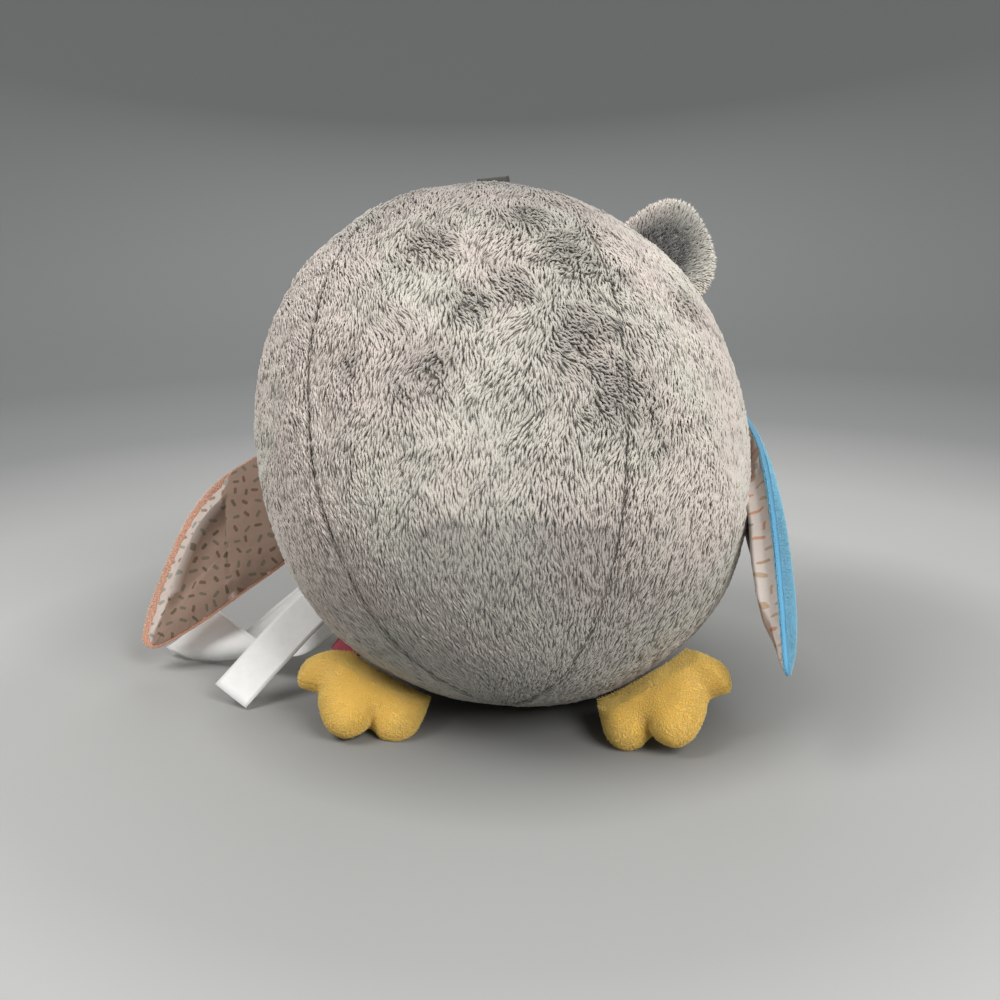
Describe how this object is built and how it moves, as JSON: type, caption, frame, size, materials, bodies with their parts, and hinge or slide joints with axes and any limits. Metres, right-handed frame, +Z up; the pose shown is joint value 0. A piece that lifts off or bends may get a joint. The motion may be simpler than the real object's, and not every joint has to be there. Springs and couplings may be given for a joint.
{
  "type": "plush owl",
  "caption": "Ball-shaped plush owl with sewn wings, ears and three-toed feet, leaning forward on its belly and toes.",
  "frame": {"origin": "centre of the flat patch of the belly that the owl rests on, at floor level", "axes": "+Z up, -Y out through the owl's face (the camera in the picture stands toward +Y), +X toward the owl's own left wing"},
  "size_m": [0.2077, 0.1564, 0.1566],
  "materials": {
    "grey_plush": "short dense minky pile, matte",
    "cream_plush": "short dense minky pile, matte",
    "peach_fleece": "brushed fleece, matte",
    "blue_fleece": "brushed fleece, matte",
    "printed_cotton": "plain woven cotton with small printed dashes",
    "yellow_velour": "fine velour, matte",
    "white_felt": "felt",
    "dark_felt": "felt",
    "polyester_filling": "loose polyester fibre",
    "white_satin": "satin ribbon, soft sheen",
    "red_ribbon": "woven ribbon",
    "charcoal_ribbon": "woven ribbon"
  },
  "bodies": {
    "body": {"back_panel": "grey_plush", "left_side_panel": "grey_plush", "right_side_panel": "grey_plush", "face_panel": "grey_plush", "belly_panel": "cream_plush", "body_stuffing": "polyester_filling", "left_eye_disc": "white_felt", "right_eye_disc": "white_felt", "left_pupil": "dark_felt", "right_pupil": "dark_felt", "beak": "yellow_velour"},
    "left_wing": {"left_wing_fleece": "peach_fleece", "left_wing_wadding": "polyester_filling", "left_wing_lining": "printed_cotton"},
    "right_wing": {"right_wing_fleece": "blue_fleece", "right_wing_wadding": "polyester_filling", "right_wing_lining": "printed_cotton"},
    "left_ear": {"left_ear_front": "grey_plush", "left_ear_back": "grey_plush"},
    "right_ear": {"right_ear_front": "grey_plush", "right_ear_back": "grey_plush"},
    "left_foot": {"left_foot_upper": "yellow_velour", "left_foot_sole": "yellow_velour", "left_foot_stuffing": "polyester_filling"},
    "right_foot": {"right_foot_upper": "yellow_velour", "right_foot_sole": "yellow_velour", "right_foot_stuffing": "polyester_filling"},
    "satin_label": {"satin_label": "white_satin"},
    "care_label": {"care_label": "white_satin"},
    "red_tab": {"red_tab": "red_ribbon"},
    "crown_loop": {"crown_loop": "charcoal_ribbon"}
  },
  "joints": [
    {"name": "left_wing_seam", "type": "hinge", "parent": "body", "child": "left_wing", "pos_m": [0.07644, -0.0204, 0.05814], "axis": [-0.1466, 0.4575, -0.877], "range_deg": [-65, 10], "stiffness_Nm_per_rad": 0.004},
    {"name": "right_wing_seam", "type": "hinge", "parent": "body", "child": "right_wing", "pos_m": [-0.06883, -0.02056, 0.07098], "axis": [0.1095, -0.4291, 0.8966], "range_deg": [0, 140], "stiffness_Nm_per_rad": 0.004},
    {"name": "left_ear_seam", "type": "hinge", "parent": "body", "child": "left_ear", "pos_m": [0.06053, -0.04349, 0.12297], "axis": [0.6402, 0.0889, -0.763], "range_deg": [-70, 18], "stiffness_Nm_per_rad": 0.004},
    {"name": "right_ear_seam", "type": "hinge", "parent": "body", "child": "right_ear", "pos_m": [-0.03878, -0.04074, 0.12849], "axis": [0.7519, -0.0984, 0.6519], "range_deg": [-42, 58], "stiffness_Nm_per_rad": 0.004},
    {"name": "left_foot_seam", "type": "hinge", "parent": "body", "child": "left_foot", "pos_m": [0.03737, 0.03019, 0.01159], "axis": [-0.8903, 0.229, -0.3935], "range_deg": [-20, 30], "stiffness_Nm_per_rad": 0.08},
    {"name": "right_foot_seam", "type": "hinge", "parent": "body", "child": "right_foot", "pos_m": [-0.04065, 0.03204, 0.0146], "axis": [-0.8534, -0.198, 0.4821], "range_deg": [-20, 30], "stiffness_Nm_per_rad": 0.08},
    {"name": "satin_label_seam", "type": "hinge", "parent": "body", "child": "satin_label", "pos_m": [0.0624, -0.00061, 0.02704], "axis": [-0.5233, 0.5181, -0.6766], "range_deg": [-25, 0], "stiffness_Nm_per_rad": 0.0004},
    {"name": "care_label_seam", "type": "hinge", "parent": "body", "child": "care_label", "pos_m": [0.0619, -0.00013, 0.02642], "axis": [-0.5321, 0.5184, -0.6694], "range_deg": [0, 40], "stiffness_Nm_per_rad": 0.0004},
    {"name": "red_tab_seam", "type": "hinge", "parent": "body", "child": "red_tab", "pos_m": [0.05161, 0.00878, 0.01595], "axis": [-0.6861, 0.5114, -0.5175], "range_deg": [-50, 50], "stiffness_Nm_per_rad": 0.0002},
    {"name": "crown_loop_seam", "type": "hinge", "parent": "body", "child": "crown_loop", "pos_m": [0.01139, -0.03583, 0.14974], "axis": [0.9962, 0, -0.0872], "range_deg": [-50, 60], "stiffness_Nm_per_rad": 0.0003}
  ]
}
